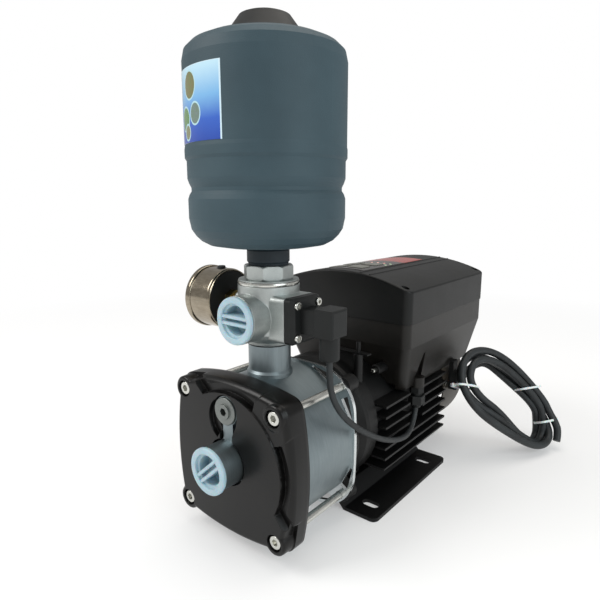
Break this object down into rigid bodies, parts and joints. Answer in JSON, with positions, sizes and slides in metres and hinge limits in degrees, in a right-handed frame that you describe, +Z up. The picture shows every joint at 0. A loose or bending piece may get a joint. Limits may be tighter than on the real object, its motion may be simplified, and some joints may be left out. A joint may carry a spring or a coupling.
{
  "type": "booster pump",
  "caption": "Horizontal multistage booster pump with a motor-mounted speed drive, discharge cross, small pressure tank, gauge, pressure sensor, slotted foot and a tied mains lead.",
  "frame": {"origin": "on the floor, at the centre of the foot's four slots", "axes": "+Z up; the pump shaft runs along Y at 90 mm height, and the suction port faces -Y"},
  "size_m": [0.2877, 0.4711, 0.4913],
  "materials": {
    "black_casting": "matt black over a cast skin",
    "fan_cover_paint": "satin brown-black",
    "stainless": "matt rolled stainless steel",
    "cast_stainless": "bead-blasted cast stainless steel",
    "bright_steel": "bright turned and plated steel",
    "dark_steel": "blackened steel",
    "laminations": "stacked electrical sheet",
    "copper_wire": "enamelled copper",
    "black_plastic": "fine-textured black plastic",
    "panel_gloss": "glossy dark overlay",
    "key_plastic": "grey key caps",
    "board": "green circuit board",
    "brass": "turned brass",
    "spring_steel": "wound spring wire",
    "tank_plastic": "slate blue-grey moulding",
    "plug_plastic": "pale blue plastic",
    "dial_white": "white printed dial",
    "pointer_black": "black hand",
    "lens": "clear window",
    "cord_rubber": "black sheath"
  },
  "bodies": {
    "pump": {"air_valve": "black_plastic", "bearings": "bright_steel", "cord_coil": "cord_rubber", "cover_screws": "dark_steel", "diffusers": "stainless", "display_panel": "panel_gloss", "drive_base": "black_plastic", "drive_lid": "black_plastic", "drive_stay": "bright_steel", "fan_cover": "fan_cover_paint", "flange_ring": "bright_steel", "foot_plate": "black_casting", "foot_screws": "dark_steel", "front_plate": "black_casting", "front_shield": "black_casting", "gauge_bezel": "bright_steel", "gauge_case": "bright_steel", "gauge_dial": "dial_white", "gauge_lens": "lens", "gauge_socket": "brass", "inlet_cover": "stainless", "keypad_board": "board", "lid_screws": "dark_steel", "mains_cord": "cord_rubber", "mains_gland": "black_plastic", "motor_housing": "black_casting", "pump_back_cover": "stainless", "pump_sleeve": "stainless", "rear_shield": "black_casting", "sensor_cable": "cord_rubber", "sensor_connector": "black_plastic", "sensor_flange": "black_plastic", "sensor_gland": "black_plastic", "sensor_screws": "bright_steel", "shaft_seal": "black_plastic", "snap_ring": "bright_steel", "stator_core": "laminations", "tank_neck": "black_plastic", "tank_nipple": "bright_steel", "tank_shell": "tank_plastic", "tie_rods": "bright_steel", "valve_body": "cast_stainless", "valve_cage": "brass", "valve_spring": "spring_steel", "winding_heads": "copper_wire"},
    "rotor": {"shaft": "bright_steel", "impellers": "stainless", "rotor_core": "laminations", "fan": "black_plastic"},
    "check_disc": {"valve_cone": "brass"},
    "pointer": {"gauge_pointer": "pointer_black"},
    "inlet_plug": {"inlet_plug": "plug_plastic"},
    "outlet_plug": {"outlet_plug": "plug_plastic"},
    "tank_cap": {"tank_cap": "black_plastic"},
    "vent_plug": {"vent_plug": "bright_steel"},
    "key_1": {"key_1": "key_plastic"},
    "key_2": {"key_2": "key_plastic"},
    "key_3": {"key_3": "key_plastic"},
    "key_4": {"key_4": "key_plastic"}
  },
  "joints": [
    {"name": "rotor_spin", "type": "hinge", "parent": "pump", "child": "rotor", "pos_m": [0, 0, 0.09], "axis": [0, 1, 0], "continuous": true},
    {"name": "check_disc_lift", "type": "slide", "parent": "pump", "child": "check_disc", "axis": [0, 0, 1], "range_m": [0, 0.008], "stiffness_N_per_m": 150, "springref_m": -0.004, "deforming": ["valve_spring"]},
    {"name": "pointer_turn", "type": "hinge", "parent": "pump", "child": "pointer", "pos_m": [-0.08, -0.1464, 0.231], "axis": [1, 0, 0], "range_deg": [0, 270], "stiffness_Nm_per_rad": 0.00002},
    {"name": "key_1_press", "type": "slide", "parent": "pump", "child": "key_1", "axis": [0, 0, -1], "range_m": [0, 0.0005], "stiffness_N_per_m": 800, "springref_m": -0.0005},
    {"name": "key_2_press", "type": "slide", "parent": "pump", "child": "key_2", "axis": [0, 0, -1], "range_m": [0, 0.0005], "stiffness_N_per_m": 800, "springref_m": -0.0005},
    {"name": "key_3_press", "type": "slide", "parent": "pump", "child": "key_3", "axis": [0, 0, -1], "range_m": [0, 0.0005], "stiffness_N_per_m": 800, "springref_m": -0.0005},
    {"name": "key_4_press", "type": "slide", "parent": "pump", "child": "key_4", "axis": [0, 0, -1], "range_m": [0, 0.0005], "stiffness_N_per_m": 800, "springref_m": -0.0005},
    {"name": "inlet_plug_pull", "type": "slide", "parent": "pump", "child": "inlet_plug", "axis": [0, -1, 0], "range_m": [0, 0.03]},
    {"name": "outlet_plug_pull", "type": "slide", "parent": "pump", "child": "outlet_plug", "axis": [0, -1, 0], "range_m": [0, 0.03]},
    {"name": "tank_cap_lift", "type": "slide", "parent": "pump", "child": "tank_cap", "axis": [0, 0, 1], "range_m": [0, 0.03]},
    {"name": "vent_plug_out", "type": "slide", "parent": "pump", "child": "vent_plug", "axis": [0, -1, 0], "range_m": [0, 0.02]}
  ]
}
